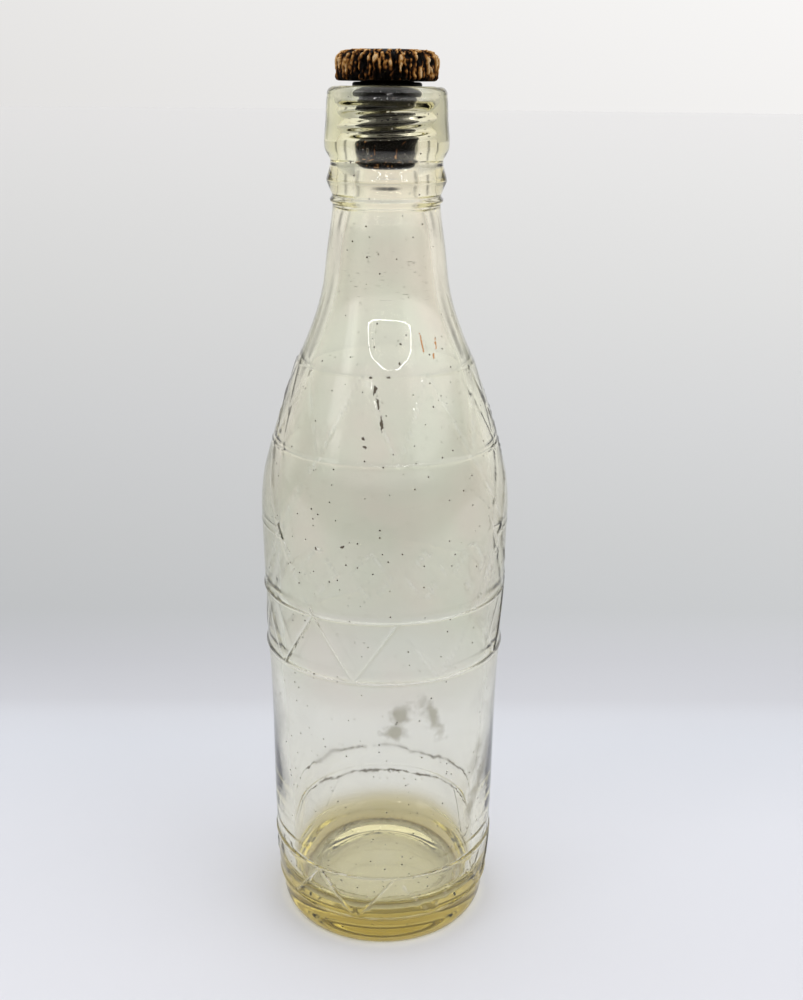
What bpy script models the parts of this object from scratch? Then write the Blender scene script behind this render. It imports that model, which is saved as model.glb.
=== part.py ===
"""A clear glass soda bottle that closes with a screw stopper and a rubber sealing ring.

Three pieces make the closed bottle. The glass is one moulding with a thread inside its mouth.
The stopper is one moulding of hard rubber: a ribbed head, a plain neck and a threaded shank.
The sealing ring is a rubber washer, trapped on the stopper's neck between head and thread.
The origin is on the table under the bottle's middle, and +Z runs up the bottle. Sizes are in metres.
"""

import math

import bmesh
import bpy

# Overall sizes of the glass.
LIP_HEIGHT = 0.290
BODY_RADIUS = 0.0426
SHOULDER_HEIGHT = 0.157
FINISH_LENGTH = 0.0365
NECK_RADIUS = 0.0173

# Wall of the glass at the foot, at the shoulder and in the neck, and its thick base.
FOOT_WALL = 0.0060
SHOULDER_WALL = 0.0048
NECK_WALL = 0.0050
BASE_THICKNESS = 0.0115
INNER_HEEL = 0.0095

# The underside: a flat standing ring round a push-up with a sloping side and a low crown.
FOOT_INSET = 0.0078
FOOT_BAND_INSET = 0.0031
STANDING_RING_WIDTH = 0.0060
PUSH_UP = 0.0030
PUSH_UP_SLOPE = 0.0110
PUSH_UP_CROWN = 0.0006
FLOOR_CROWN = 0.0012

# The thread that glass and stopper share: right-hand, rounded, measured on the stopper.
SHANK_RADIUS = 0.0089
THREAD_DEPTH = 0.0012
PITCH = 0.0050
THREAD_CLEARANCE = 0.00035
BORE_THREAD_LENGTH = 0.0125
BORE_RUN_OUT = 0.0030

# The stopper.
HEAD_RADIUS = 0.0163
HEAD_HEIGHT = 0.0092
HEAD_ROUND = 0.0036
HEAD_CHAMFER = 0.0010
RIB_DEPTH = 0.0004
HEAD_GAP = 0.0016
SHANK_LENGTH = 0.0271
SHANK_CHAMFER = 0.0012
NECK_STEP = 0.0005

# The sealing ring.
RING_SECTION = 0.0022
RING_HEIGHT = 0.0050
RING_ROUND = 0.0008
RING_CLEARANCE = 0.0003

# The lip of the glass round the seat.
LIP_WALL = 0.0086
LIP_ROUND = 0.0016
LIP_INSET = 0.0009
MOUTH_ROUND = 0.0010
MOUTH_FLARE = 0.0002

# How finely the turned shapes are divided.
SEGMENTS = 40
ROWS_PER_PITCH = 6
SHOULDER_ROWS = 15
ARC_STEPS = 4
MERGE = 1e-6
SHARP_ANGLE = math.radians(40)

# Sizes and heights that follow from those above.
STOPPER_NECK_RADIUS = SHANK_RADIUS - NECK_STEP
RING_INNER = STOPPER_NECK_RADIUS + RING_CLEARANCE
RING_OUTER = RING_INNER + RING_SECTION
SEAT_RADIUS = RING_OUTER + RING_CLEARANCE
FINISH_RADIUS = SEAT_RADIUS + LIP_WALL
FINISH_BASE = LIP_HEIGHT - FINISH_LENGTH
HEAD_SEAT = LIP_HEIGHT + HEAD_GAP
RING_TOP = HEAD_SEAT - RING_CLEARANCE
RING_BOTTOM = RING_TOP - RING_HEIGHT
THREAD_TOP = RING_BOTTOM - RING_CLEARANCE
SHANK_END = HEAD_SEAT - SHANK_LENGTH
BORE_THREAD_END = THREAD_TOP - BORE_THREAD_LENGTH
BORE_END = SHANK_END - BORE_RUN_OUT
BORE_RADIUS = SHANK_RADIUS + THREAD_CLEARANCE + THREAD_DEPTH
FOOT_RADIUS = BODY_RADIUS - FOOT_INSET

# The outside of the body, as (height above the table, how far inside BODY_RADIUS).
BODY_OUTLINE = (
    (0.0012, 0.0067),
    (0.0030, 0.0058),
    (0.0077, 0.0050),
    (0.0121, 0.0042),
    (0.0155, 0.0034),
    (0.0200, FOOT_BAND_INSET),
    (0.0290, FOOT_BAND_INSET),
    (0.0450, 0.0027),
    (0.0750, 0.0025),
    (0.0950, 0.0020),
    (0.1035, 0.0012),
    (0.1190, 0.0012),
    (0.1270, 0.0006),
    (0.1490, 0.0000),
)

# The shoulder and neck, as shares of their height and of the step from body to neck.
SHOULDER_SHAPE = (
    (0.00, 1.000),
    (0.10, 0.955),
    (0.21, 0.840),
    (0.31, 0.720),
    (0.42, 0.570),
    (0.52, 0.420),
    (0.59, 0.300),
    (0.66, 0.205),
    (0.76, 0.125),
    (0.87, 0.070),
    (1.00, 0.000),
)

# The outside of the finish, as (drop below the lip, how far inside FINISH_RADIUS).
FINISH_OUTLINE = (
    (0.0348, 0.0015),
    (0.0338, 0.0015),
    (0.0330, 0.0024),
    (0.0313, 0.0018),
    (0.0282, 0.0006),
    (0.0264, 0.0010),
    (0.0236, 0.0018),
    (0.0218, 0.0018),
    (0.0204, 0.0010),
    (0.0188, 0.0001),
    (0.0160, 0.0000),
    (0.0100, 0.0005),
)


def clear_scene():
    for obj in list(bpy.data.objects):
        bpy.data.objects.remove(obj, do_unlink=True)


def smooth_share(shape, share):
    """Reads a smooth curve through shape's (share, value) points, by cubic Hermite pieces."""
    last = len(shape) - 1
    index = max(i for i in range(last) if shape[i][0] <= share)
    (x0, y0), (x1, y1) = shape[index], shape[index + 1]
    before, after = shape[max(index - 1, 0)], shape[min(index + 2, last)]
    span = x1 - x0
    slope_in = (y1 - before[1]) / (x1 - before[0]) * span
    slope_out = (after[1] - y0) / (after[0] - x0) * span
    t = (share - x0) / span
    rise = y0 * (2 * t**3 - 3 * t**2 + 1) + y1 * (3 * t**2 - 2 * t**3)
    return rise + slope_in * (t**3 - 2 * t**2 + t) + slope_out * (t**3 - t**2)


def arc(centre, radius, start, end, steps=ARC_STEPS):
    """Points on a circular arc in the (radius, height) plane, from start to end degrees."""
    angles = [math.radians(start + (end - start) * i / steps) for i in range(steps + 1)]
    return [(centre[0] + radius * math.cos(a), centre[1] + radius * math.sin(a)) for a in angles]


def outer_shoulder_radius(share):
    return NECK_RADIUS + (BODY_RADIUS - NECK_RADIUS) * smooth_share(SHOULDER_SHAPE, share)


def shoulder_heights():
    """(share, height) of each row of the shoulder, from the body up to the finish."""
    rise = FINISH_BASE - SHOULDER_HEIGHT
    shares = [i / SHOULDER_ROWS for i in range(SHOULDER_ROWS + 1)]
    return [(share, SHOULDER_HEIGHT + rise * share) for share in shares]


def foot_outline():
    """The underside: a shallow push-up in the middle of the flat standing ring."""
    ring_inner = FOOT_RADIUS - STANDING_RING_WIDTH
    return [
        (0.0, PUSH_UP),
        (ring_inner - PUSH_UP_SLOPE, PUSH_UP - PUSH_UP_CROWN),
        (ring_inner, 0.0),
        (FOOT_RADIUS, 0.0),
    ]


def outer_outline():
    """The outside of the glass from the foot up to the lip's outer edge."""
    body = [(BODY_RADIUS - inset, height) for height, inset in BODY_OUTLINE]
    shoulder = [(outer_shoulder_radius(share), height) for share, height in shoulder_heights()]
    finish = [(FINISH_RADIUS - inset, LIP_HEIGHT - drop) for drop, inset in FINISH_OUTLINE]
    lip_centre = (FINISH_RADIUS - LIP_INSET - LIP_ROUND, LIP_HEIGHT - LIP_ROUND)
    lip = arc(lip_centre, LIP_ROUND, 0, 90)
    return body + shoulder + finish + lip


def mouth_outline():
    """From the top of the lip in over its rounded edge and down the seat to the thread."""
    centre = (SEAT_RADIUS + MOUTH_FLARE + MOUTH_ROUND, LIP_HEIGHT - MOUTH_ROUND)
    edge = arc(centre, MOUTH_ROUND, 90, 180)
    return edge + [(SEAT_RADIUS, THREAD_TOP)]


def bore_thread_heights():
    """Heights of the rows of the glass thread, from the seat down to its last turn."""
    rows = round(BORE_THREAD_LENGTH / PITCH * ROWS_PER_PITCH)
    return [THREAD_TOP - BORE_THREAD_LENGTH * row / rows for row in range(1, rows + 1)]


def inner_outline():
    """The inside of the glass from the plain bore's end down to the middle of the floor."""
    outline = [(BORE_RADIUS, BORE_END)]
    for share, height in reversed(shoulder_heights()):
        wall = SHOULDER_WALL + (NECK_WALL - SHOULDER_WALL) * share
        outline.append((outer_shoulder_radius(share) - wall, height))
    floor_corner = BODY_RADIUS - FOOT_BAND_INSET - FOOT_WALL - INNER_HEEL
    heel_centre = (floor_corner, BASE_THICKNESS + INNER_HEEL)
    return outline + arc(heel_centre, INNER_HEEL, 0, -90) + [(0.0, BASE_THICKNESS + FLOOR_CROWN)]


def thread_swell(angle, height):
    """How far the thread stands out from its root: 0 in the root, THREAD_DEPTH on the crest."""
    turns = (height - LIP_HEIGHT) / PITCH - angle / math.tau
    return THREAD_DEPTH * (0.5 + 0.5 * math.cos(math.tau * turns))


def fade(distance):
    """Rises from 0 to 1 over half a pitch, where a thread begins."""
    return min(max(distance / (PITCH / 2), 0.0), 1.0)


def turned(outline):
    """Spins (radius, height) points once round +Z into a closed bmesh with its faces out."""
    bm = bmesh.new()
    points = [bm.verts.new((radius, 0.0, height)) for radius, height in outline]
    edges = [bm.edges.new(pair) for pair in zip(points, points[1:])]
    bmesh.ops.spin(
        bm,
        geom=points + edges,
        cent=(0, 0, 0),
        axis=(0, 0, 1),
        angle=math.tau,
        steps=SEGMENTS,
    )
    bmesh.ops.remove_doubles(bm, verts=bm.verts, dist=MERGE)
    bmesh.ops.recalc_face_normals(bm, faces=bm.faces)
    return bm


def set_radius(vertex, radius):
    length = vertex.co.xy.length
    vertex.co.x *= radius / length
    vertex.co.y *= radius / length


def finished(name, bm, material, height=0.0):
    """Makes the object, with its origin on the bottle's axis at this height."""
    bmesh.ops.translate(bm, vec=(0, 0, -height), verts=bm.verts)
    mesh = bpy.data.meshes.new(name)
    bm.to_mesh(mesh)
    bm.free()
    mesh.shade_smooth()
    mesh.set_sharp_from_angle(angle=SHARP_ANGLE)
    mesh.materials.append(material)
    obj = bpy.data.objects.new(name, mesh)
    obj.location.z = height
    bpy.context.scene.collection.objects.link(obj)
    return obj


def principled(name, colour, roughness, transmission=0.0):
    material = bpy.data.materials.new(name)
    material.use_nodes = True
    shader = material.node_tree.nodes["Principled BSDF"]
    shader.inputs["Base Color"].default_value = (*colour, 1.0)
    shader.inputs["Roughness"].default_value = roughness
    shader.inputs["Metallic"].default_value = 0.0
    shader.inputs["Transmission Weight"].default_value = transmission
    return material


def make_glass_bottle():
    thread_rows = [(BORE_RADIUS, height) for height in bore_thread_heights()]
    outline = foot_outline() + outer_outline() + mouth_outline() + thread_rows + inner_outline()
    bm = turned(outline)
    for vertex in bm.verts:
        in_bore = vertex.co.xy.length < BORE_RADIUS + MERGE
        if in_bore and BORE_THREAD_END - MERGE < vertex.co.z < THREAD_TOP - MERGE:
            angle = math.atan2(vertex.co.y, vertex.co.x)
            ridge = THREAD_DEPTH - thread_swell(angle, vertex.co.z)
            begins = min(fade(THREAD_TOP - vertex.co.z), fade(vertex.co.z - BORE_THREAD_END))
            set_radius(vertex, BORE_RADIUS - ridge * begins)
    return finished("glass_bottle", bm, principled("clear_glass", (0.90, 0.92, 0.82), 0.03, 1.0))


def head_outline():
    """The stopper's head from the middle of its top, over its round edge, to its underside."""
    side_top = HEAD_SEAT + HEAD_HEIGHT - HEAD_ROUND
    edge = arc((HEAD_RADIUS - HEAD_ROUND, side_top), HEAD_ROUND, 90, 0)
    side_bottom = HEAD_SEAT + HEAD_CHAMFER
    underside = [
        (HEAD_RADIUS, side_bottom),
        (HEAD_RADIUS - HEAD_CHAMFER, HEAD_SEAT),
        (STOPPER_NECK_RADIUS, HEAD_SEAT),
    ]
    return [(0.0, HEAD_SEAT + HEAD_HEIGHT)] + edge + underside


def shank_outline():
    """The stopper below its head: the neck under the ring, the thread and the chamfered end."""
    length = THREAD_TOP - SHANK_END - SHANK_CHAMFER
    rows = round(length / PITCH * ROWS_PER_PITCH)
    thread = [(SHANK_RADIUS, THREAD_TOP - length * row / rows) for row in range(rows + 1)]
    neck = [(STOPPER_NECK_RADIUS, THREAD_TOP)]
    end = [(SHANK_RADIUS - SHANK_CHAMFER, SHANK_END), (0.0, SHANK_END)]
    return neck + thread + end


def make_screw_stopper():
    bm = turned(head_outline() + shank_outline())
    thread_end = SHANK_END + SHANK_CHAMFER
    rib_angle = math.tau / SEGMENTS
    for vertex in bm.verts:
        radius = vertex.co.xy.length
        angle = math.atan2(vertex.co.y, vertex.co.x)
        if radius > HEAD_RADIUS - HEAD_ROUND / 2:
            if round(angle / rib_angle) % 2:
                set_radius(vertex, radius - RIB_DEPTH)
        elif radius > SHANK_RADIUS - MERGE and thread_end - MERGE < vertex.co.z < THREAD_TOP + MERGE:
            begins = min(fade(THREAD_TOP - vertex.co.z), fade(vertex.co.z - thread_end))
            set_radius(vertex, SHANK_RADIUS + thread_swell(angle, vertex.co.z) * begins)
    vulcanite = principled("black_hard_rubber", (0.030, 0.022, 0.018), 0.45)
    return finished("screw_stopper", bm, vulcanite, HEAD_SEAT)


def make_sealing_ring():
    """A washer of rounded rectangular section that lies on the seat inside the lip."""
    low = RING_BOTTOM + RING_ROUND
    high = RING_TOP - RING_ROUND
    outside = arc((RING_OUTER - RING_ROUND, low), RING_ROUND, -90, 0, 2)
    outside += arc((RING_OUTER - RING_ROUND, high), RING_ROUND, 0, 90, 2)
    inside = [(RING_INNER, RING_TOP), (RING_INNER, RING_BOTTOM)]
    section = outside + inside
    bm = turned(section + section[:1])
    middle = (RING_TOP + RING_BOTTOM) / 2
    return finished("sealing_ring", bm, principled("black_rubber", (0.02, 0.02, 0.02), 0.7), middle)


clear_scene()
make_glass_bottle()
make_sealing_ring()
make_screw_stopper()
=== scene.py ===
import math
import random

import bmesh
import bpy
import numpy as np
from mathutils import Matrix, Vector, noise


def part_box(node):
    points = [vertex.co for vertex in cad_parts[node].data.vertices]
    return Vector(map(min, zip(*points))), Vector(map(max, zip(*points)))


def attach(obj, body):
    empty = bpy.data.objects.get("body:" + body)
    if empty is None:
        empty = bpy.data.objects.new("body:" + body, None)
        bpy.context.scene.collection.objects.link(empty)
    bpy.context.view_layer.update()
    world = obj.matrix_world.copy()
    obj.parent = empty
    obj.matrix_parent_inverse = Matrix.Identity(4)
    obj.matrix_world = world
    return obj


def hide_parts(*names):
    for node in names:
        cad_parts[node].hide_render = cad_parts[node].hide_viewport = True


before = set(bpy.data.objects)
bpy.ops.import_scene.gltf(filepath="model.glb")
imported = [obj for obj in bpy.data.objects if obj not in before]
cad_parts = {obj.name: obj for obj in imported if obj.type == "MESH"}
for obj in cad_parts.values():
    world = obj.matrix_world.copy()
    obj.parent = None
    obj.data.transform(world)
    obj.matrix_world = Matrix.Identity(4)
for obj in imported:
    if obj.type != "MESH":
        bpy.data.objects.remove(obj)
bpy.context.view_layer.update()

# ---------------------------------------------------------------------------------------------
# The studio: a floor of white card that runs back to the horizon under white light from above
# and behind. The room is dark low down in front and at the sides, so that the glass has edges to
# show. A window stands at each side, and a ring lamp hangs above the camera.
# ---------------------------------------------------------------------------------------------
camera_data = bpy.data.cameras.new("camera")
camera_data.lens = 44.42
camera_data.sensor_width = 36.0
camera = bpy.data.objects.new("camera", camera_data)
bpy.context.scene.collection.objects.link(camera)
camera_turn = Matrix.Rotation(math.radians(-0.81), 4, "Z") @ Matrix.Rotation(math.radians(71.9), 4, "X")
camera_roll = Matrix.Rotation(math.radians(0.57), 4, "Z")
camera.matrix_world = Matrix.Translation((0.0, -0.4049, 0.2870)) @ camera_turn @ camera_roll
bpy.context.scene.camera = camera
bpy.context.scene.view_settings.view_transform = "Standard"
bpy.context.scene.cycles.max_bounces = 24
bpy.context.scene.cycles.transmission_bounces = 24
bpy.context.scene.cycles.glossy_bounces = 8
bpy.context.scene.cycles.blur_glossy = 0.3


def studio_ramp(tree, stops):
    """A colour ramp of (position, (red, green, blue)) stops."""
    ramp = tree.nodes.new("ShaderNodeValToRGB")
    elements = ramp.color_ramp.elements
    while len(elements) < len(stops):
        elements.new(0.5)
    for element, (position, colour) in zip(elements, stops):
        element.position = position
        element.color = (*colour, 1.0)
    return ramp


# The floor is matt white card, painted darker behind the bottle and lighter again towards the horizon:
# painted shade and light.
# A tone's place on the ramp is d / (d + FLOOR_SPREAD), where d is the distance from FLOOR_NEAR.
FLOOR_NEAR = -0.30
FLOOR_SPREAD = 0.60
FLOOR_TONES = (
    (0.28, (0.734, 0.739, 0.780)),
    (0.360, (0.720, 0.731, 0.776)),
    (0.405, (0.673, 0.692, 0.739)),
    (0.420, (0.649, 0.663, 0.705)),
    (0.430, (0.589, 0.596, 0.629)),
    (0.453, (0.542, 0.548, 0.574)),
    (0.485, (0.501, 0.512, 0.518)),
    (0.535, (0.524, 0.532, 0.532)),
    (0.628, (0.572, 0.577, 0.578)),
    (0.742, (0.628, 0.629, 0.620)),
    (0.882, (0.684, 0.681, 0.670)),
    (0.980, (0.718, 0.710, 0.701)),
)
# In front of the bottle and far out at its sides, where the camera does not look, the floor is
# in shade.
FLOOR_SHADE_STARTS = -0.20
FLOOR_SHADE_ENDS = -0.60

# Behind the bottle it is painted a little lighter towards the right, a painted light fanning out from
# FAN_STARTS in front.
FAN_STARTS = 0.405
bpy.ops.object.select_all(action="DESELECT")
bpy.ops.mesh.primitive_circle_add(vertices=96, radius=30.0, fill_type="NGON")
floor = bpy.context.object
floor.name = "floor"
floor_paint = bpy.data.materials.new("floor_card")
floor_paint.use_nodes = True
tree = floor_paint.node_tree
place = tree.nodes.new("ShaderNodeTexCoord")
split = tree.nodes.new("ShaderNodeSeparateXYZ")


def calculate(tree, operation, first, second):
    """A math node. Each value is a number or another node's output."""
    node = tree.nodes.new("ShaderNodeMath")
    node.operation = operation
    for socket, value in zip(node.inputs, (first, second)):
        if isinstance(value, (int, float)):
            socket.default_value = value
        else:
            tree.links.new(value, socket)
    return node.outputs[0]


def fade_between(tree, value, start, end, at_start=0.0, at_end=1.0):
    """A smooth change from at_start, where the value is start, to at_end, where it is end."""
    node = tree.nodes.new("ShaderNodeMapRange")
    node.interpolation_type = "SMOOTHSTEP"
    limits = {"From Min": start, "From Max": end, "To Min": at_start, "To Max": at_end}
    for name, number in limits.items():
        node.inputs[name].default_value = number
    tree.links.new(value, node.inputs["Value"])
    return node.outputs[0]


def vector_step(tree, operation, vector, other=None):
    """A vector math node, and its vector output."""
    node = tree.nodes.new("ShaderNodeVectorMath")
    node.operation = operation
    tree.links.new(vector, node.inputs[0])
    if other is not None:
        node.inputs[1].default_value = other
    return node


tree.links.new(place.outputs["Object"], split.inputs[0])
back = calculate(tree, "SUBTRACT", split.outputs["Y"], FLOOR_NEAR)
back = calculate(tree, "DIVIDE", back, calculate(tree, "ADD", back, FLOOR_SPREAD))
tones = studio_ramp(tree, FLOOR_TONES)
tree.links.new(back, tones.inputs[0])
fan = calculate(tree, "ADD", split.outputs["Y"], FAN_STARTS)
sideways = calculate(tree, "DIVIDE", split.outputs["X"], fan)
far_floor = fade_between(tree, split.outputs["Y"], 0.10, 0.25, 0.0, 0.17)
sideways = calculate(tree, "MULTIPLY", sideways, far_floor)
lighter = tree.nodes.new("ShaderNodeVectorMath")
lighter.operation = "SCALE"
tree.links.new(tones.outputs["Color"], lighter.inputs[0])
near_shade = fade_between(tree, split.outputs["Y"], FLOOR_SHADE_ENDS, FLOOR_SHADE_STARTS, 0.04, 1.0)
flat = vector_step(tree, "MULTIPLY", place.outputs["Object"], (1.0, 1.0, 0.0)).outputs["Vector"]
from_axis = vector_step(tree, "LENGTH", flat).outputs["Value"]
beside = fade_between(tree, calculate(tree, "DIVIDE", split.outputs["Y"], from_axis), 0.25, 0.05)
far_sides = calculate(tree, "MULTIPLY", fade_between(tree, from_axis, 1.2, 2.4, 0.0, 0.95), beside)
lit = calculate(tree, "MULTIPLY", calculate(tree, "ADD", sideways, 1.0), near_shade)
lit = calculate(tree, "MULTIPLY", lit, calculate(tree, "SUBTRACT", 1.0, far_sides))
tree.links.new(lit, lighter.inputs["Scale"])
# Under the bottle's foot the floor is painted near white: a painted pool of light, standing for the
# light that comes through the glass.
floor_with_foot_light = tree.nodes.new("ShaderNodeMix")
floor_with_foot_light.data_type = "RGBA"
floor_with_foot_light.inputs["B"].default_value = (0.98, 0.98, 0.98, 1.0)
painted_light_under_foot = fade_between(tree, from_axis, 0.033, 0.040, 1.0, 0.0)
tree.links.new(painted_light_under_foot, floor_with_foot_light.inputs["Factor"])
tree.links.new(lighter.outputs["Vector"], floor_with_foot_light.inputs["A"])
card = tree.nodes["Principled BSDF"]
tree.links.new(floor_with_foot_light.outputs["Result"], card.inputs["Base Color"])
card.inputs["Roughness"].default_value = 0.9
card.inputs["Specular IOR Level"].default_value = 0.1
floor.data.materials.append(floor_paint)

# The room: white light, stronger overhead, with a tall window at the left and a broader one at
# the right. It is dark low down except behind the bottle, where two flags dim it a little.
world = bpy.data.worlds.new("studio")
bpy.context.scene.world = world
world.use_nodes = True
tree = world.node_tree
ray = tree.nodes.new("ShaderNodeTexCoord").outputs["Generated"]
split = tree.nodes.new("ShaderNodeSeparateXYZ")
tree.links.new(ray, split.inputs[0])
rise = studio_ramp(
    tree,
    (
        (0.00, (0.81, 0.80, 0.79)),
        (0.12, (0.87, 0.86, 0.85)),
        (0.40, (0.98, 0.98, 0.98)),
        (1.00, (1.10, 1.10, 1.12)),
    ),
)
tree.links.new(split.outputs["Z"], rise.inputs[0])


def glow(tree, direction, flatten, outer_degrees, inner_degrees):
    """1 within inner_degrees of a direction, 0 beyond outer_degrees; taller where flatten is small."""
    stretch = Vector((1.0, 1.0, flatten))
    aim = (Vector(direction) * stretch).normalized()
    stretched = vector_step(tree, "MULTIPLY", ray, stretch).outputs["Vector"]
    stretched = vector_step(tree, "NORMALIZE", stretched).outputs["Vector"]
    facing = vector_step(tree, "DOT_PRODUCT", stretched, aim).outputs["Value"]
    edges = math.cos(math.radians(outer_degrees)), math.cos(math.radians(inner_degrees))
    return fade_between(tree, facing, *edges)


left_window = calculate(tree, "MULTIPLY", glow(tree, (-0.80, -0.50, 0.28), 0.30, 12, 4), 1.6)
right_window = calculate(tree, "MULTIPLY", glow(tree, (0.90, -0.42, 0.30), 0.50, 38, 26), 0.9)
windows = calculate(tree, "ADD", calculate(tree, "ADD", left_window, right_window), 1.0)
low_down = fade_between(tree, split.outputs["Z"], 0.27, 0.18, 0.0, 0.96)
before_bottle = fade_between(tree, split.outputs["Y"], 0.25, 0.05)
dark = calculate(tree, "MULTIPLY", low_down, before_bottle)
level = calculate(tree, "MULTIPLY", windows, calculate(tree, "SUBTRACT", 1.0, dark))
for side in (-1.0, 1.0):
    flag = calculate(tree, "MULTIPLY", glow(tree, (0.60 * side, 0.80, 0.0), 0.25, 8, 4), 0.7)
    level = calculate(tree, "MULTIPLY", level, calculate(tree, "SUBTRACT", 1.0, flag))
seen = tree.nodes.new("ShaderNodeLightPath").outputs["Is Camera Ray"]
to_right = calculate(tree, "ADD", calculate(tree, "MULTIPLY", split.outputs["X"], 0.27), 0.03)
to_right = calculate(tree, "MULTIPLY", to_right, seen)
level = calculate(tree, "MULTIPLY", level, calculate(tree, "ADD", 1.0, to_right))
dim = tree.nodes.new("ShaderNodeVectorMath")
dim.operation = "SCALE"
tree.links.new(rise.outputs["Color"], dim.inputs[0])
tree.links.new(level, dim.inputs["Scale"])
tree.links.new(dim.outputs["Vector"], tree.nodes["Background"].inputs["Color"])

# The ring lamp is an oval glowing tube above and behind the camera, which faces the shoulder.
SHOULDER_FRONT = Vector((0.0, -0.028, 0.212))
bpy.ops.mesh.primitive_torus_add(
    major_radius=0.310, minor_radius=0.0090, major_segments=96, minor_segments=12
)
ring_lamp = bpy.context.object
ring_lamp.name = "ring_lamp"
ring_lamp.scale = (1.0, 0.180, 0.180)
ring_lamp.location = (0.044, -0.4475, 0.484)
ring_lamp.rotation_euler = (SHOULDER_FRONT - ring_lamp.location).to_track_quat("-Z", "Y").to_euler()
ring_lamp.visible_camera = False
ring_lamp.visible_diffuse = False
tube = bpy.data.materials.new("lamp_tube")
tube.use_nodes = True
tube_shader = tube.node_tree.nodes["Principled BSDF"]
tube_shader.inputs["Emission Color"].default_value = (1.0, 1.0, 1.0, 1.0)
tube_shader.inputs["Emission Strength"].default_value = 16.0
ring_lamp.data.materials.append(tube)

# ---------------------------------------------------------------------------------------------
# The bottle: one moulding of clear glass with a straw tint, pressed and then blown in a mould.
# The mould leaves its rings, raised zigzag lines, lozenges and a seam on the outside, and the
# thread for the stopper is pressed inside the mouth.
# ---------------------------------------------------------------------------------------------
lip_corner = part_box("glass_bottle")[1]
BODY_RADIUS = lip_corner.x
LIP_HEIGHT = lip_corner.z
FINISH_RADIUS = 0.0198
FINISH_BASE = LIP_HEIGHT - 0.0365
FOOT_RADIUS = BODY_RADIUS - 0.0078
PITCH = 0.0050
THREAD_DEPTH = 0.0012
BORE_RADIUS = 0.01045
BORE_THREAD_END = 0.2735
SEAT_RADIUS = 0.0112
SEAT_CONE_END = 0.2835
BORE_END = 0.2615
THREAD_TOP = 0.2860
LIP_INSET = 0.0010
LIP_ROUND = 0.0022
MOUTH_RADIUS = 0.0114
MOUTH_ROUND = 0.0010
SECTOR_COLUMNS = 72
SECTOR_DEGREES = 120.0
PANEL_LEFT = -54.0

# The outside from the foot to the neck, as (height, radius), then the finish.
OUTER_POINTS = [
    (0.0012, BODY_RADIUS - 0.0067),
    (0.0030, BODY_RADIUS - 0.0058),
    (0.0050, BODY_RADIUS - 0.0053),
    (0.0077, BODY_RADIUS - 0.0050),
    (0.0121, BODY_RADIUS - 0.0043),
    (0.0155, BODY_RADIUS - 0.0037),
    (0.0200, BODY_RADIUS - 0.0034),
    (0.0290, BODY_RADIUS - 0.0031),
    (0.0450, BODY_RADIUS - 0.0027),
    (0.0750, BODY_RADIUS - 0.0025),
    (0.0950, BODY_RADIUS - 0.0020),
    (0.1035, BODY_RADIUS - 0.0015),
    (0.1190, BODY_RADIUS - 0.0013),
    (0.1270, BODY_RADIUS - 0.0009),
    (0.1490, BODY_RADIUS - 0.0004),
]
SHOULDER_POINTS = [
    (0.1570, 0.04220),
    (0.1667, 0.04105),
    (0.1773, 0.03820),
    (0.1869, 0.03530),
    (0.1975, 0.03175),
    (0.2035, 0.02970),
    (0.2050, 0.02905),
    (0.2085, 0.02737),
    (0.2126, 0.02563),
    (0.2170, 0.02393),
    (0.2209, 0.02258),
    (0.2255, 0.02130),
    (0.2303, 0.02035),
    (0.2410, 0.01905),
    (0.2497, 0.01775),
]
OUTER_POINTS += SHOULDER_POINTS
FINISH_POINTS = (
    (0.0362, 0.0025),
    (0.0352, 0.0023),
    (0.0345, 0.0016),
    (0.0338, 0.0017),
    (0.0330, 0.0024),
    (0.0313, 0.0018),
    (0.0282, 0.0006),
    (0.0264, 0.0010),
    (0.0236, 0.0018),
    (0.0218, 0.0018),
    (0.0204, 0.0010),
    (0.0188, 0.0002),
    (0.0160, 0.0000),
    (0.0100, 0.0005),
    (0.0040, 0.0008),
    (0.0030, LIP_INSET),
)
OUTER_POINTS += [(LIP_HEIGHT - drop, FINISH_RADIUS - inset) for drop, inset in FINISH_POINTS]

# The inside from the floor's corner to below the thread. In the shoulder it follows the outside.
SHOULDER_WALL = 0.0048
FLOOR_EDGE = 0.0240
INNER_HEEL = 0.0095
INNER_HEEL_TOP = 0.0210
INNER_POINTS = [(INNER_HEEL_TOP, FLOOR_EDGE + INNER_HEEL), (0.0600, 0.0350)]
INNER_POINTS += [(0.1100, 0.0364), (0.1450, 0.0374)]
INNER_POINTS += [(height, radius - SHOULDER_WALL) for height, radius in SHOULDER_POINTS]
INNER_POINTS += [(0.2560, 0.0113), (BORE_END, BORE_RADIUS)]

# Rings moulded on the outside, as height: (half width, height of the bead).
RINGS = {
    0.0123: (0.0008, 0.00050),
    0.0295: (0.0006, 0.00045),
    0.1048: (0.0011, 0.00060),
    0.1262: (0.0007, 0.00045),
    0.1500: (0.0007, 0.00012),
    0.1778: (0.0007, 0.00018),
    0.2042: (0.0006, 0.00010),
}
RING_ROWS = (-1.0, -0.6, -0.25, 0.0, 0.25, 0.6, 1.0)
WAIST_RING = 0.1500


def smooth_radius(points, height):
    """The radius at this height on a smooth curve through (height, radius) points."""
    last = len(points) - 1
    index = max([i for i in range(last) if points[i][0] <= height] or [0])
    (z0, r0), (z1, r1) = points[index], points[index + 1]
    before, after = points[max(index - 1, 0)], points[min(index + 2, last)]
    span = z1 - z0
    slope_in = (r1 - before[1]) / (z1 - before[0]) * span
    slope_out = (after[1] - r0) / (after[0] - z0) * span
    t = min(max((height - z0) / span, 0.0), 1.0)
    radius = r0 * (2 * t**3 - 3 * t**2 + 1) + r1 * (3 * t**2 - 2 * t**3)
    return radius + slope_in * (t**3 - 2 * t**2 + t) + slope_out * (t**3 - t**2)


def heights_between(low, high, step):
    count = max(1, round((high - low) / step))
    return [low + (high - low) * i / count for i in range(count + 1)]


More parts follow.
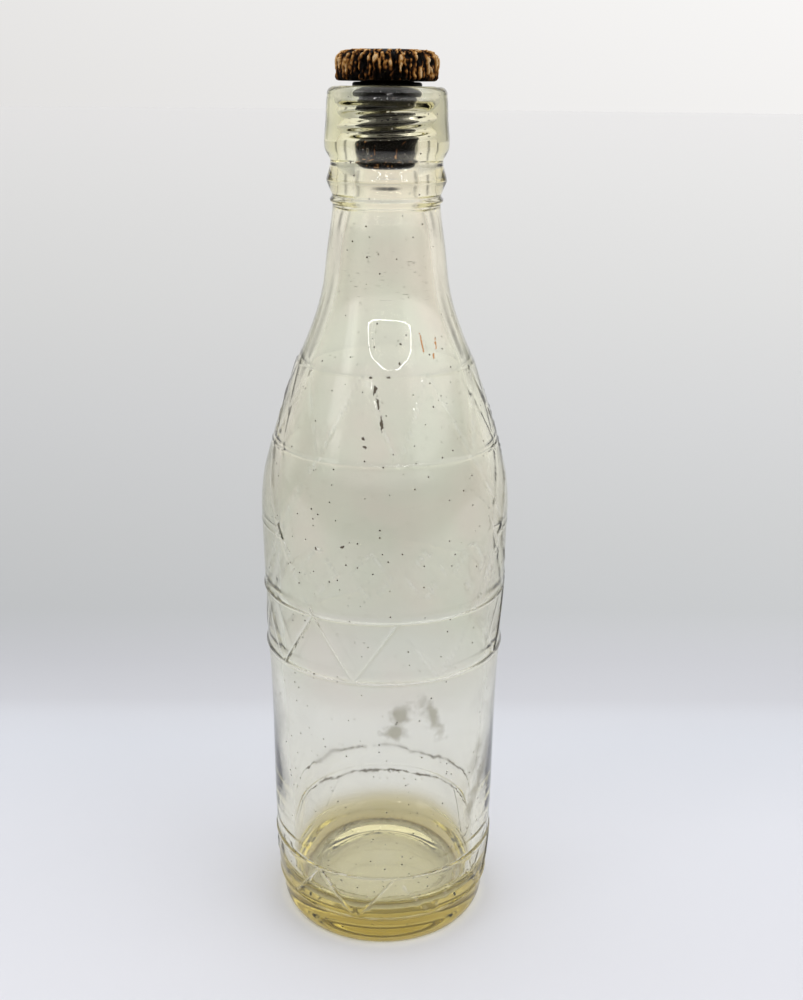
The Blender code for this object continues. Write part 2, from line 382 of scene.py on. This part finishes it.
def round_edge(centre, radius, start, end, steps):
    """Points on a circular arc in the (radius, height) plane, from start to end degrees."""
    angles = [math.radians(start + (end - start) * i / steps) for i in range(steps + 1)]
    return [(centre[0] + radius * math.cos(a), centre[1] + radius * math.sin(a)) for a in angles]


# The glass outline runs from the middle of the underside, up the outside, over the lip, down
# the seat and the thread, and down the inside to the middle of the floor.
body_rows = heights_between(0.0012, 0.0060, 0.0006) + heights_between(0.0070, 0.1000, 0.0020)
body_rows += heights_between(0.1015, 0.2200, 0.0017) + heights_between(0.2220, 0.2525, 0.0015)
body_rows += heights_between(0.2530, 0.2870, 0.0006)
for ring, (half_width, _) in RINGS.items():
    body_rows = [z for z in body_rows if abs(z - ring) > half_width + 0.0002]
    body_rows += [ring + half_width * row for row in RING_ROWS]
glass_outline = [(0.0, 0.0030), (0.0060, 0.00295), (0.0120, 0.0027), (0.0174, 0.0024)]
glass_outline += [(0.0240, 0.0013), (0.0284, 0.0001), (FOOT_RADIUS - 0.0050, 0.0)]
glass_outline += [(FOOT_RADIUS - 0.0008, 0.0), (FOOT_RADIUS, 0.0001), (FOOT_RADIUS + 0.0006, 0.0005)]
glass_outline += [(smooth_radius(OUTER_POINTS, z), z) for z in sorted(body_rows)]
lip_centre = (FINISH_RADIUS - LIP_INSET - LIP_ROUND, LIP_HEIGHT - LIP_ROUND)
glass_outline += round_edge(lip_centre, LIP_ROUND, 5, 90, 12)
mouth_centre = (MOUTH_RADIUS + MOUTH_ROUND, LIP_HEIGHT - MOUTH_ROUND)
glass_outline += round_edge(mouth_centre, MOUTH_ROUND, 90, 180, 6)
glass_outline += [(SEAT_RADIUS + 0.0001, 0.2880), (SEAT_RADIUS, 0.2870), (SEAT_RADIUS, 0.2864)]
thread_rows = heights_between(BORE_THREAD_END, THREAD_TOP, PITCH / 16)
for height in thread_rows[::-1]:
    share = min(max((height - SEAT_CONE_END) / (THREAD_TOP - SEAT_CONE_END), 0.0), 1.0)
    cone = (SEAT_RADIUS - BORE_RADIUS) * share**2 * (3.0 - 2.0 * share)
    glass_outline.append((BORE_RADIUS + cone, height))
glass_outline += [(BORE_RADIUS, z) for z in heights_between(BORE_END, BORE_THREAD_END, 0.0015)[-2::-1]]
inner_rows = heights_between(INNER_HEEL_TOP, BORE_END, 0.0040)
glass_outline += [(smooth_radius(INNER_POINTS, z), z) for z in inner_rows[-2:0:-1]]
glass_outline += round_edge((FLOOR_EDGE, INNER_HEEL_TOP), INNER_HEEL, 0, -90, 12)
glass_outline += [(0.0190, 0.0116), (0.0140, 0.0119), (0.0070, 0.0125), (0.0, 0.0127)]


def begin_outline(radius, height, turn):
    """Starts a mesh as a single point, at this angle round the bottle's axis."""
    bpy.ops.object.select_all(action="DESELECT")
    bpy.ops.mesh.primitive_plane_add(size=0.001, location=(0, 0, 0))
    bpy.ops.object.mode_set(mode="EDIT")
    bpy.ops.mesh.merge(type="CENTER")
    start = (radius * math.cos(turn), radius * math.sin(turn), height)
    bpy.ops.transform.translate(value=start)
    return bpy.context.object


def turn_outline(name, outline, columns, start_degrees=0.0, turned_degrees=360.0):
    """Draws the outline by extruding a point from place to place, and spins it round the axis."""
    turn = math.radians(start_degrees)
    piece = begin_outline(*outline[0], turn)
    piece.name = name
    for (r0, z0), (r1, z1) in zip(outline, outline[1:]):
        move = ((r1 - r0) * math.cos(turn), (r1 - r0) * math.sin(turn), z1 - z0)
        bpy.ops.mesh.extrude_region_move(TRANSFORM_OT_translate={"value": move})
    bpy.ops.mesh.select_all(action="SELECT")
    bpy.ops.mesh.spin(
        steps=columns, angle=math.radians(turned_degrees), center=(0, 0, 0), axis=(0, 0, 1)
    )
    bpy.ops.mesh.select_all(action="SELECT")
    bpy.ops.mesh.remove_doubles(threshold=2e-6)
    return piece


def on_glass(degrees, height):
    """A point on the outside of the glass. Degrees run to the right from the front, seen from above."""
    turn = math.radians(degrees - 90.0)
    radius = smooth_radius(OUTER_POINTS, height)
    return Vector((radius * math.cos(turn), radius * math.sin(turn), height))


# The raised lines of one panel, a third of the bottle, as pairs of (degrees, height).
LINE_HALF_WIDTH = 0.00065
LINE_HEIGHT = 0.00045
LINE_CUTS = (-1.0, -0.5, 0.0, 0.5, 1.0)
ZIGZAGS = ((0.2042, 0.1778), (0.1048, 0.1262), (0.0123, 0.0295))
panel_lines = []
for outer_height, inner_height in ZIGZAGS:
    for leg in range(6):
        left = PANEL_LEFT + 20.0 * leg
        ends = (outer_height, inner_height) if leg % 2 == 0 else (inner_height, outer_height)
        panel_lines.append(((left, ends[0]), (left + 20.0, ends[1])))
upper, lower = 0.1778, 0.1262
for side, crossing in ((1, PANEL_LEFT), (-1, PANEL_LEFT + SECTOR_DEGREES)):
    for end in (upper, lower):
        panel_lines.append(((crossing, (upper + lower) / 2), (crossing + 20.0 * side, end)))

# A row of plain lozenges stands in the front panel.
LOZENGES = (-30.0, -6.0, 18.0, 42.0)
LOZENGE_MIDDLE = 0.1425
LOZENGE_HALF_HEIGHT = 0.0080
LOZENGE_HALF_DEGREES = 9.5
lozenge_lines = []
for middle in LOZENGES:
    for side in (-1, 1):
        for end in (-1, 1):
            tip = (middle, LOZENGE_MIDDLE + end * LOZENGE_HALF_HEIGHT)
            lozenge_lines.append(((middle + side * LOZENGE_HALF_DEGREES, LOZENGE_MIDDLE), tip))


def across(line):
    """The line's start, its direction and length, and the direction across it on the glass."""
    start, end = (on_glass(*point) for point in line)
    along = end - start
    outward = (start + end) / 2
    outward.z = 0.0
    return start, along.normalized(), along.length, along.cross(outward).normalized()


def cut_line(piece, line):
    """Cuts the faces near a raised line with planes along it, so that the line has its own edges."""
    start, along, length, sideways = across(line)
    reach = LINE_HALF_WIDTH + 0.0017
    for offset in LINE_CUTS:
        mesh = bmesh.from_edit_mesh(piece.data)
        for face in mesh.faces:
            centre = face.calc_center_median()
            gap = centre - start
            near = -0.0015 < gap.dot(along) < length + 0.0015 and abs(gap.dot(sideways)) < reach
            radius = centre.xy.length
            outside = radius > smooth_radius(OUTER_POINTS, centre.z) - 0.002 if near else False
            face.select_set(near and outside)
        bmesh.update_edit_mesh(piece.data)
        bpy.ops.mesh.bisect(
            plane_co=start + sideways * LINE_HALF_WIDTH * offset,
            plane_no=sideways,
            threshold=2e-5,
        )


bottle = turn_outline(
    "bottle_moulding", glass_outline, SECTOR_COLUMNS, PANEL_LEFT - 90.0, SECTOR_DEGREES
)
bpy.ops.mesh.select_mode(type="FACE")
for line in panel_lines + lozenge_lines:
    cut_line(bottle, line)
bpy.ops.mesh.select_mode(type="VERT")
bpy.ops.mesh.select_all(action="SELECT")
bpy.ops.mesh.spin(
    steps=2, dupli=True, angle=math.radians(2 * SECTOR_DEGREES), center=(0, 0, 0), axis=(0, 0, 1)
)
bpy.ops.mesh.select_all(action="SELECT")
bpy.ops.mesh.remove_doubles(threshold=3e-6)
bpy.ops.mesh.normals_make_consistent(inside=False)
bpy.ops.object.mode_set(mode="OBJECT")


def bead(distance, half_width):
    """A rounded ridge: 1 in the middle and 0 at half_width."""
    share = np.clip(np.abs(distance) / half_width, 0.0, 1.0)
    return 0.5 + 0.5 * np.cos(np.pi * share)


def line_relief(points, line):
    start, along, length, sideways = across(line)
    gap = points - np.array(start)
    run = gap @ np.array(along)
    beyond = np.maximum(np.maximum(-run, run - length), 0.0)
    sidestep = gap @ np.array(sideways)
    facing = points[:, :2] @ np.array(start.xy) > 0
    return bead(np.hypot(sidestep, beyond), LINE_HALF_WIDTH) * facing


# The raised work, the seam, the thread and the unevenness of the glass are moved into the mesh.
count = len(bottle.data.vertices)
places = np.empty(count * 3)
bottle.data.vertices.foreach_get("co", places)
places = places.reshape(-1, 3)
radii = np.hypot(places[:, 0], places[:, 1])
heights = places[:, 2]
degrees = (np.degrees(np.arctan2(places[:, 1], places[:, 0])) + 90.0 + 180.0) % 360.0 - 180.0
skin = np.array([smooth_radius(OUTER_POINTS, z) for z in heights])
outside = (radii > skin - 0.0008) & (heights > 0.0015) & (heights < LIP_HEIGHT - 0.002)
relief = np.zeros(count)
in_front = (degrees > PANEL_LEFT) & (degrees < PANEL_LEFT + SECTOR_DEGREES)
for ring, (half_width, ring_height) in RINGS.items():
    shown = ~in_front if ring == WAIST_RING else True
    relief = np.maximum(relief, ring_height * bead(heights - ring, half_width) * shown)
for third in range(3):
    turned = np.radians(-SECTOR_DEGREES * third)
    spun = places.copy()
    spun[:, 0] = places[:, 0] * np.cos(turned) - places[:, 1] * np.sin(turned)
    spun[:, 1] = places[:, 0] * np.sin(turned) + places[:, 1] * np.cos(turned)
    lines = panel_lines + (lozenge_lines if third == 0 else [])
    for line in lines:
        relief = np.maximum(relief, LINE_HEIGHT * line_relief(spun, line))
BACK_STARTS = 115.0
BACK_RELIEF = 0.4
SEAM_DEGREES = 2.0
SEAM_HALF_WIDTH = 0.0009
SEAM_HEIGHT = 0.00022
SEAM_STARTS = FINISH_BASE - 0.0120
seam = bead(np.radians(degrees - SEAM_DEGREES) * radii, SEAM_HALF_WIDTH) * (heights > SEAM_STARTS)
relief = np.maximum(relief, SEAM_HEIGHT * seam)
relief *= np.where(np.abs(degrees) > BACK_STARTS, BACK_RELIEF, 1.0)
# The crests of the raised work are marked for a painted highlight.
highlight_crests = np.clip(relief / LINE_HEIGHT - 0.25, 0.0, 1.0) * (outside & (heights < SEAM_STARTS))
radii_new = np.where(outside, radii + relief, radii)

in_thread = (heights > BORE_THREAD_END - 1e-5) & (heights < THREAD_TOP + 1e-5)
in_bore = in_thread & (radii < SEAT_RADIUS + 1e-5)
turns = (heights - LIP_HEIGHT) / PITCH - np.arctan2(places[:, 1], places[:, 0]) / math.tau
ridge = THREAD_DEPTH * (0.5 - 0.5 * np.cos(math.tau * turns))
THREAD_STOPS = THREAD_TOP - 0.0012
from_ends = np.minimum(THREAD_STOPS - heights, heights - BORE_THREAD_END)
ridge *= np.clip(from_ends / (PITCH / 2), 0.0, 1.0)
radii_new = np.where(in_bore, radii_new - ridge, radii_new)

WAVE = 0.00010
WAVES_END = 0.2500
FILM_STARTS = 0.0105
film = ~outside & (heights > FILM_STARTS) & (heights < BORE_THREAD_END) & (radii > 0.002)
waves = np.zeros(count)
for index in np.nonzero(film & (heights < WAVES_END))[0]:
    spot = Vector(places[index])
    waves[index] = noise.noise(spot * 42.0) + 0.5 * noise.noise(spot * 95.0)
radii_new = radii_new + waves * WAVE

scale = np.where(radii > 1e-6, radii_new / np.maximum(radii, 1e-6), 1.0)
places[:, 0] *= scale
places[:, 1] *= scale
bottle.data.vertices.foreach_set("co", places.ravel())
dried_film = bottle.data.attributes.new("dried_film", "FLOAT", "POINT")
dried_film.data.foreach_set("value", film.astype(np.float32))
# This attribute carries the painted highlight on the crests of the raised work.
line_highlight = bottle.data.attributes.new("line_highlight", "FLOAT", "POINT")
line_highlight.data.foreach_set("value", highlight_crests.astype(np.float32))
bottle.data.update()
bottle.data.shade_smooth()


def noise_between(tree, place, scale, low, high, detail=3.0):
    """A noise pattern stretched so that it is 0 below low and 1 above high."""
    pattern = tree.nodes.new("ShaderNodeTexNoise")
    pattern.inputs["Scale"].default_value = scale
    pattern.inputs["Detail"].default_value = detail
    tree.links.new(place, pattern.inputs["Vector"])
    return fade_between(tree, pattern.outputs["Fac"], low, high)


def tone_mix(tree, factor, first, second):
    """Mixes two colours. Each is three numbers or another node's output."""
    node = tree.nodes.new("ShaderNodeMix")
    node.data_type = "RGBA"
    for name, value in (("Factor", factor), ("A", first), ("B", second)):
        if isinstance(value, tuple):
            node.inputs[name].default_value = (*value, 1.0)
        elif isinstance(value, float):
            node.inputs[name].default_value = value
        else:
            tree.links.new(value, node.inputs[name])
    return node.outputs["Result"]


# Dried marks on the glass, and one painted reflection, as degrees from the front, height, half width,
# half length and lean.
BROWN_MARKS = (
    (-6.0, 0.2005, 0.0005, 0.0012, 10),
    (-4.2, 0.1965, 0.0004, 0.0022, -12),
    (-2.0, 0.1905, 0.0004, 0.0024, -6),
    (-11.0, 0.1860, 0.0006, 0.0006, 0),
    (-10.0, 0.1835, 0.0008, 0.0004, 30),
    (-9.0, 0.2040, 0.0006, 0.0003, 0),
    (1.5, 0.2042, 0.0006, 0.0003, 0),
    (11.0, 0.2137, 0.0004, 0.0003, 0),
    (9.0, 0.2080, 0.0003, 0.0005, 0),
    (-31.0, 0.1500, 0.0006, 0.0004, 40),
    (-18.0, 0.1523, 0.0004, 0.0009, 50),
)
ORANGE_MARKS = (
    (26.6, 0.2135, 0.0003, 0.0032, -4),
    (38.0, 0.2130, 0.0003, 0.0020, 8),
    (34.0, 0.2095, 0.0003, 0.0009, 5),
)
# Soft grey smudges, and one painted reflection.
SMUDGES_AND_REFLECTION = (
    (7.6, 0.0930, 0.0030, 0.0045, 20),
    (5.0, 0.0870, 0.0035, 0.0025, 0),
    (24.0, 0.0900, 0.0022, 0.0065, -25),
    # A painted reflection of something dark, low on the right of the body, not a smudge.
    (56.0, 0.0570, 0.0026, 0.0130, 32),
)
MARK_DEPTH = 0.0020


def mark(tree, place, rough, softness, degrees, height, half_width, half_length, lean):
    """1 inside an uneven oval mark on the outside of the glass and 0 outside it."""
    local = tree.nodes.new("ShaderNodeMapping")
    local.vector_type = "TEXTURE"
    local.inputs["Location"].default_value = on_glass(degrees, height)
    local.inputs["Rotation"].default_value = (0.0, math.radians(lean), math.radians(degrees))
    local.inputs["Scale"].default_value = (half_width, MARK_DEPTH, half_length)
    tree.links.new(place, local.inputs["Vector"])
    away = vector_step(tree, "LENGTH", local.outputs["Vector"]).outputs["Value"]
    return fade_between(tree, calculate(tree, "ADD", away, rough), 1.0 + softness, 1.0 - softness)


def any_of(tree, masks):
    total = masks[0]
    for mask in masks[1:]:
        total = calculate(tree, "MAXIMUM", total, mask)
    return total


glass = bpy.data.materials.new("straw_glass")
glass.use_nodes = True
tree = glass.node_tree
shader = tree.nodes["Principled BSDF"]
shader.inputs["IOR"].default_value = 1.52
tint = tree.nodes.new("ShaderNodeVolumeAbsorption")
tint.inputs["Color"].default_value = (0.84, 0.79, 0.42, 1.0)
tint.inputs["Density"].default_value = 30.0
tree.links.new(tint.outputs[0], tree.nodes["Material Output"].inputs["Volume"])
place = tree.nodes.new("ShaderNodeTexCoord").outputs["Object"]
split = tree.nodes.new("ShaderNodeSeparateXYZ")
tree.links.new(place, split.inputs[0])
film_mask = tree.nodes.new("ShaderNodeAttribute")
film_mask.attribute_name = "dried_film"
film_mask = film_mask.outputs["Fac"]
crumble = tree.nodes.new("ShaderNodeTexNoise")
crumble.inputs["Scale"].default_value = 1300.0
tree.links.new(place, crumble.inputs["Vector"])
rough = calculate(tree, "MULTIPLY", calculate(tree, "SUBTRACT", crumble.outputs["Fac"], 0.5), 3.2)
brown = [mark(tree, place, rough, 0.15, *shape) for shape in BROWN_MARKS]
orange = any_of(tree, [mark(tree, place, rough, 0.15, *shape) for shape in ORANGE_MARKS])
cloudy = calculate(tree, "SUBTRACT", noise_between(tree, place, 240.0, 0.3, 0.7), 0.5)
cloudy = calculate(tree, "MULTIPLY", cloudy, 0.9)
smudge_and_reflection = any_of(tree, [mark(tree, place, cloudy, 0.7, *shape) for shape in SMUDGES_AND_REFLECTION])

# The raised lines are painted pale along their crests: a painted highlight.
crest_highlight = tree.nodes.new("ShaderNodeAttribute")
crest_highlight.attribute_name = "line_highlight"
patchy = calculate(tree, "MULTIPLY", noise_between(tree, place, 180.0, 0.3, 0.7), 0.30)
patchy = calculate(tree, "ADD", patchy, 0.12)
crest_highlight = calculate(tree, "MULTIPLY", crest_highlight.outputs["Fac"], patchy)

# The last of the drink dried in two broken lines round the back of the inside, and as dregs
# round the edge of the floor.
TIDE_LINES = (0.0470, 0.0360)
sag = tree.nodes.new("ShaderNodeTexNoise")
sag.inputs["Scale"].default_value = 38.0
sag.inputs["Detail"].default_value = 8.0
sag.inputs["Roughness"].default_value = 0.6
tree.links.new(place, sag.inputs["Vector"])
level = calculate(tree, "MULTIPLY", sag.outputs["Fac"], 0.012)
level = calculate(tree, "ADD", split.outputs["Z"], level)
broken = noise_between(tree, place, 210.0, 0.36, 0.46)
thick = calculate(tree, "MULTIPLY", noise_between(tree, place, 650.0, 0.35, 0.75), 0.0007)
behind = fade_between(tree, split.outputs["Y"], -0.006, 0.004)
for tide in TIDE_LINES:
    gap = calculate(tree, "ABSOLUTE", calculate(tree, "SUBTRACT", level, tide), 0.0)
    gap = calculate(tree, "SUBTRACT", gap, thick)
    line = calculate(tree, "MULTIPLY", fade_between(tree, gap, 0.00025, 0.00005), broken)
    line = calculate(tree, "MULTIPLY", line, calculate(tree, "MULTIPLY", film_mask, behind))
    brown.append(line)
across_floor = vector_step(tree, "MULTIPLY", place, (1.0, 1.0, 0.0)).outputs["Vector"]
from_axis = vector_step(tree, "LENGTH", across_floor).outputs["Value"]
gap = calculate(tree, "ABSOLUTE", calculate(tree, "SUBTRACT", from_axis, FLOOR_EDGE + 0.0006), 0.0)
gap = calculate(tree, "SUBTRACT", gap, calculate(tree, "MULTIPLY", thick, 1.6))
dregs = noise_between(tree, place, 120.0, 0.30, 0.60)
dregs = calculate(tree, "MULTIPLY", dregs, fade_between(tree, gap, 0.0007, 0.0001))
dregs = calculate(tree, "MULTIPLY", dregs, fade_between(tree, split.outputs["Z"], 0.0150, 0.0130))
dregs = calculate(tree, "MULTIPLY", dregs, film_mask)

# Specks all over, and fine scratches across the front of the neck.
speck = tree.nodes.new("ShaderNodeTexVoronoi")
speck.inputs["Scale"].default_value = 230.0
tree.links.new(place, speck.inputs["Vector"])
brown.append(fade_between(tree, speck.outputs["Distance"], 0.085, 0.050))
thin = vector_step(tree, "MULTIPLY", place, (1.0, 1.0, 14.0)).outputs["Vector"]
scratch = noise_between(tree, thin, 260.0, 0.66, 0.70, 5.0)
on_neck = fade_between(tree, split.outputs["Z"], 0.2255, 0.2290)
on_neck = calculate(tree, "MULTIPLY", on_neck, fade_between(tree, split.outputs["Z"], 0.2430, 0.2390))
on_neck = calculate(tree, "MULTIPLY", on_neck, fade_between(tree, split.outputs["Y"], -0.014, -0.017))
brown.append(calculate(tree, "MULTIPLY", scratch, on_neck))
brown = any_of(tree, brown)

# The glass itself: straw in patches above, white in the lower body and deep straw at the heel.
PINK_STRAW = (1.0, 0.970, 0.940)
GREEN_STRAW = (0.970, 0.985, 0.940)
HEEL_STRAW = (0.55, 0.45, 0.18)
FLOOR_STRAW = (0.985, 0.975, 0.88)
SMUDGE_AND_REFLECTION_GREY = (0.42, 0.40, 0.32)
DREGS_OLIVE = (0.42, 0.36, 0.16)
HIGHLIGHT_WHITE = (0.95, 0.93, 0.85)
DRIED_BROWN = (0.10, 0.075, 0.045)
DRIED_ORANGE = (0.60, 0.28, 0.09)
clear = tone_mix(tree, noise_between(tree, place, 28.0, 0.40, 0.60), PINK_STRAW, GREEN_STRAW)
clear = tone_mix(tree, fade_between(tree, split.outputs["Z"], 0.1050, 0.0850), clear, (1.0, 1.0, 1.0))
heel = fade_between(tree, split.outputs["Z"], 0.0230, 0.0100)
outer_heel = calculate(tree, "MULTIPLY", heel, fade_between(tree, from_axis, 0.0300, 0.0340))
outer_heel = calculate(tree, "MULTIPLY", outer_heel, calculate(tree, "SUBTRACT", 1.0, film_mask))
colour = tone_mix(tree, outer_heel, clear, HEEL_STRAW)
colour = tone_mix(tree, calculate(tree, "MULTIPLY", heel, film_mask), colour, FLOOR_STRAW)
for mask, tone in (
    (smudge_and_reflection, SMUDGE_AND_REFLECTION_GREY),
    (dregs, DREGS_OLIVE),
    (crest_highlight, HIGHLIGHT_WHITE),
    (brown, DRIED_BROWN),
    (orange, DRIED_ORANGE),
):
    colour = tone_mix(tree, mask, colour, tone)
tree.links.new(colour, shader.inputs["Base Color"])
faint = calculate(tree, "MULTIPLY", calculate(tree, "MAXIMUM", smudge_and_reflection, dregs), 0.30)
# Dirt, the painted highlight on the crests and the painted reflection all make the glass less clear.
dirt_and_painted_light = any_of(tree, [brown, orange, faint, crest_highlight])
tree.links.new(calculate(tree, "SUBTRACT", 1.0, dirt_and_painted_light), shader.inputs["Transmission Weight"])
dull = calculate(tree, "MULTIPLY", noise_between(tree, place, 70.0, 0.25, 0.75), 0.15)
dull = calculate(tree, "MULTIPLY", calculate(tree, "ADD", dull, 0.06), film_mask)
rinsed = fade_between(tree, split.outputs["Z"], 0.045, 0.085, 0.15, 1.0)
dull = calculate(tree, "MULTIPLY", dull, rinsed)
dull = calculate(tree, "ADD", dull, calculate(tree, "MULTIPLY", dirt_and_painted_light, 0.5))
tree.links.new(dull, shader.inputs["Roughness"])
bottle.data.materials.clear()
bottle.data.materials.append(glass)
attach(bottle, "bottle")
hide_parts("glass_bottle")

# ---------------------------------------------------------------------------------------------
# The sealing ring: a washer of black rubber, stretched over the stopper's thread on to its neck,
# where it lies under the head and meets the seat inside the lip.
# ---------------------------------------------------------------------------------------------
ring_low, ring_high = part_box("sealing_ring")
RING_INNER = 0.0087
RING_ROUND = 0.0008
ring_outline = round_edge((ring_high.x - RING_ROUND, ring_low.z + RING_ROUND), RING_ROUND, -90, 0, 5)
ring_outline += round_edge((ring_high.x - RING_ROUND, ring_high.z - RING_ROUND), RING_ROUND, 0, 90, 5)
ring_outline += [(RING_INNER, ring_high.z), (RING_INNER, ring_low.z), ring_outline[0]]
ring = turn_outline("rubber_washer", ring_outline, 96)
bpy.ops.mesh.normals_make_consistent(inside=False)
bpy.ops.object.mode_set(mode="OBJECT")
ring.data.shade_smooth()
ring.data.set_sharp_from_angle(angle=math.radians(50))
rubber = bpy.data.materials.new("black_rubber")
rubber.use_nodes = True
tree = rubber.node_tree
shader = tree.nodes["Principled BSDF"]
shader.inputs["Roughness"].default_value = 0.45
shader.inputs["Specular IOR Level"].default_value = 0.05
place = tree.nodes.new("ShaderNodeTexCoord").outputs["Object"]
perished = noise_between(tree, place, 400.0, 0.5, 0.8)
blacks = tone_mix(tree, perished, (0.002, 0.002, 0.002), (0.012, 0.010, 0.008))
tree.links.new(blacks, shader.inputs["Base Color"])
ring.data.materials.clear()
ring.data.materials.append(rubber)
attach(ring, "ring")
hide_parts("sealing_ring")

# ---------------------------------------------------------------------------------------------
# The stopper: one moulding of hard black rubber. Its head has upright ribs for the fingers, worn
# to tan and brown on their crests, and its shank has a rounded right-hand thread.
# ---------------------------------------------------------------------------------------------
stopper_low, stopper_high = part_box("screw_stopper")
HEAD_RADIUS = stopper_high.x
HEAD_TOP = stopper_high.z
HEAD_SEAT = ring_high.z + 0.0003
HEAD_ROUND = 0.0036
STOPPER_NECK = 0.0084
SHANK_RADIUS = 0.0089
SHANK_END = stopper_low.z
SHANK_BEVEL = 0.0012
RIBS = 46
RIB_DEPTH = 0.0016
head_outline = [(0.0, HEAD_TOP), (0.0040, HEAD_TOP), (0.0080, HEAD_TOP)]
head_outline += round_edge((HEAD_RADIUS - HEAD_ROUND, HEAD_TOP - HEAD_ROUND), HEAD_ROUND, 90, 0, 10)
rib_rows = heights_between(HEAD_SEAT + 0.0010, HEAD_TOP - HEAD_ROUND, 0.0003)
head_outline += [(HEAD_RADIUS, z) for z in rib_rows[-2::-1]]
head_outline += [(HEAD_RADIUS - 0.0003, HEAD_SEAT + 0.0003), (HEAD_RADIUS - 0.0010, HEAD_SEAT)]
head_outline += [(STOPPER_NECK, HEAD_SEAT), (STOPPER_NECK, THREAD_TOP), (SHANK_RADIUS, THREAD_TOP)]
shank_rows = heights_between(SHANK_END + SHANK_BEVEL, THREAD_TOP, PITCH / 20)
head_outline += [(SHANK_RADIUS, z) for z in shank_rows[-2::-1]]
head_outline += [(SHANK_RADIUS - SHANK_BEVEL, SHANK_END), (0.0040, SHANK_END), (0.0, SHANK_END)]
stopper = turn_outline("stopper_moulding", head_outline, RIBS * 8)
bpy.ops.mesh.normals_make_consistent(inside=False)
bpy.ops.object.mode_set(mode="OBJECT")
count = len(stopper.data.vertices)
places = np.empty(count * 3)
stopper.data.vertices.foreach_get("co", places)
places = places.reshape(-1, 3)
wear = np.zeros(count)
random.seed(7)
rib_heights = [random.uniform(0.60, 1.0) for _ in range(RIBS)]
rib_leans = [random.uniform(-0.5, 0.3) for _ in range(RIBS)]

# The ribs and the thread are moved into the mesh. Wear is highest on the ribs' crests, and the crests
# are lighter towards the top of the head; dry crumbs cling to the shank's left side below CRUST_TOP.
CRUST_TOP = 0.2765
for index, (x, y, z) in enumerate(places):
    radius = math.hypot(x, y)
    if radius < 1e-6:
        continue
    angle = math.atan2(y, x)
    moved = radius
    if z > HEAD_SEAT - 1e-6:
        height = (z - HEAD_SEAT) / (HEAD_TOP - HEAD_SEAT)
        grip = min(max((radius - HEAD_RADIUS + 2.2 * HEAD_ROUND) / (1.2 * HEAD_ROUND), 0.0), 1.0)
        wander = 0.9 * noise.noise(Vector((x, y, z)) * 260.0)
        wander += 0.5 * noise.noise(Vector((x, y, z)) * 700.0)
        place_in_ribs = (angle / math.tau % 1.0) * RIBS + wander
        rib = int(place_in_ribs) % RIBS
        place_in_rib = place_in_ribs % 1.0 + rib_leans[rib] * (height - 0.5)
        ridge = math.sin(math.pi * min(max(place_in_rib, 0.0), 1.0)) ** 0.7 * rib_heights[rib]
        lump = noise.noise(Vector((x * 420.0, y * 420.0, z * 200.0)))
        crumb = noise.noise(Vector((x * 1300.0, y * 1300.0, z * 800.0)))
        strand = noise.noise(Vector((x * 1150.0, y * 1150.0, z * 170.0)))
        full = min(max(ridge * (0.85 + 0.4 * lump) + 0.22 * crumb + 0.45 * strand, 0.0), 1.0)
        moved = radius - grip * RIB_DEPTH * (1.0 - full)
        places[index, 2] -= 0.0007 * grip * (1.0 - full) * height
        # The crests are made lighter towards the top of the head.
        wear[index] = grip * full * (0.40 + 0.60 * height) * (1.0 + 0.9 * (lump + crumb + strand))
        wear[index] += 0.35 * (1.0 - grip) * max(0.0, lump + crumb)
    elif radius > SHANK_RADIUS - 1e-5 and SHANK_END + SHANK_BEVEL - 1e-4 < z < THREAD_TOP - 1e-6:
        turns = (z - LIP_HEIGHT) / PITCH - angle / math.tau
        ends = min(THREAD_TOP - z, z - SHANK_END - SHANK_BEVEL) / (PITCH / 2)
        swell = THREAD_DEPTH * (0.5 + 0.5 * math.cos(math.tau * turns)) * min(max(ends, 0.0), 1.0)
        moved = radius + swell - 0.00012 * max(0.0, noise.noise(Vector((x, y, z)) * 500.0))
        left_front = math.cos(angle + math.radians(115.0))
        crust = noise.noise(Vector((x, y, z * 1.6)) * 620.0)
        crust += 0.5 * noise.noise(Vector((x, y, z)) * 1500.0)
        low = min(max((CRUST_TOP - z) / 0.004, 0.0), 1.0)
        wear[index] = 0.16 * low + max(0.0, crust * 3.0 - 0.9) * low * max(0.0, left_front)
    places[index, 0] = x * moved / radius
    places[index, 1] = y * moved / radius
stopper.data.vertices.foreach_set("co", places.ravel())
worn = stopper.data.attributes.new("wear", "FLOAT", "POINT")
worn.data.foreach_set("value", np.clip(wear, 0.0, 1.0).astype(np.float32))
stopper.data.update()
stopper.data.shade_smooth()
stopper.data.set_sharp_from_angle(angle=math.radians(50))

hard_rubber = bpy.data.materials.new("worn_hard_rubber")
hard_rubber.use_nodes = True
tree = hard_rubber.node_tree
shader = tree.nodes["Principled BSDF"]
place = tree.nodes.new("ShaderNodeTexCoord").outputs["Object"]
crest = tree.nodes.new("ShaderNodeAttribute")
crest.attribute_name = "wear"
colour = studio_ramp(
    tree,
    (
        (0.00, (0.002, 0.0015, 0.001)),
        (0.30, (0.006, 0.003, 0.0015)),
        (0.45, (0.060, 0.021, 0.005)),
        (0.62, (0.260, 0.105, 0.025)),
        (0.82, (0.510, 0.260, 0.070)),
        (1.00, (0.740, 0.500, 0.260)),
    ),
)
tree.links.new(crest.outputs["Fac"], colour.inputs[0])
tree.links.new(colour.outputs["Color"], shader.inputs["Base Color"])
shader.inputs["Roughness"].default_value = 0.5
shader.inputs["Specular IOR Level"].default_value = 0.05
grain = tree.nodes.new("ShaderNodeBump")
grain.inputs["Distance"].default_value = 0.0003
grain.inputs["Strength"].default_value = 0.5
tree.links.new(noise_between(tree, place, 900.0, 0.2, 0.8), grain.inputs["Height"])
tree.links.new(grain.outputs[0], shader.inputs["Normal"])
stopper.data.materials.clear()
stopper.data.materials.append(hard_rubber)
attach(stopper, "stopper")
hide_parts("screw_stopper")
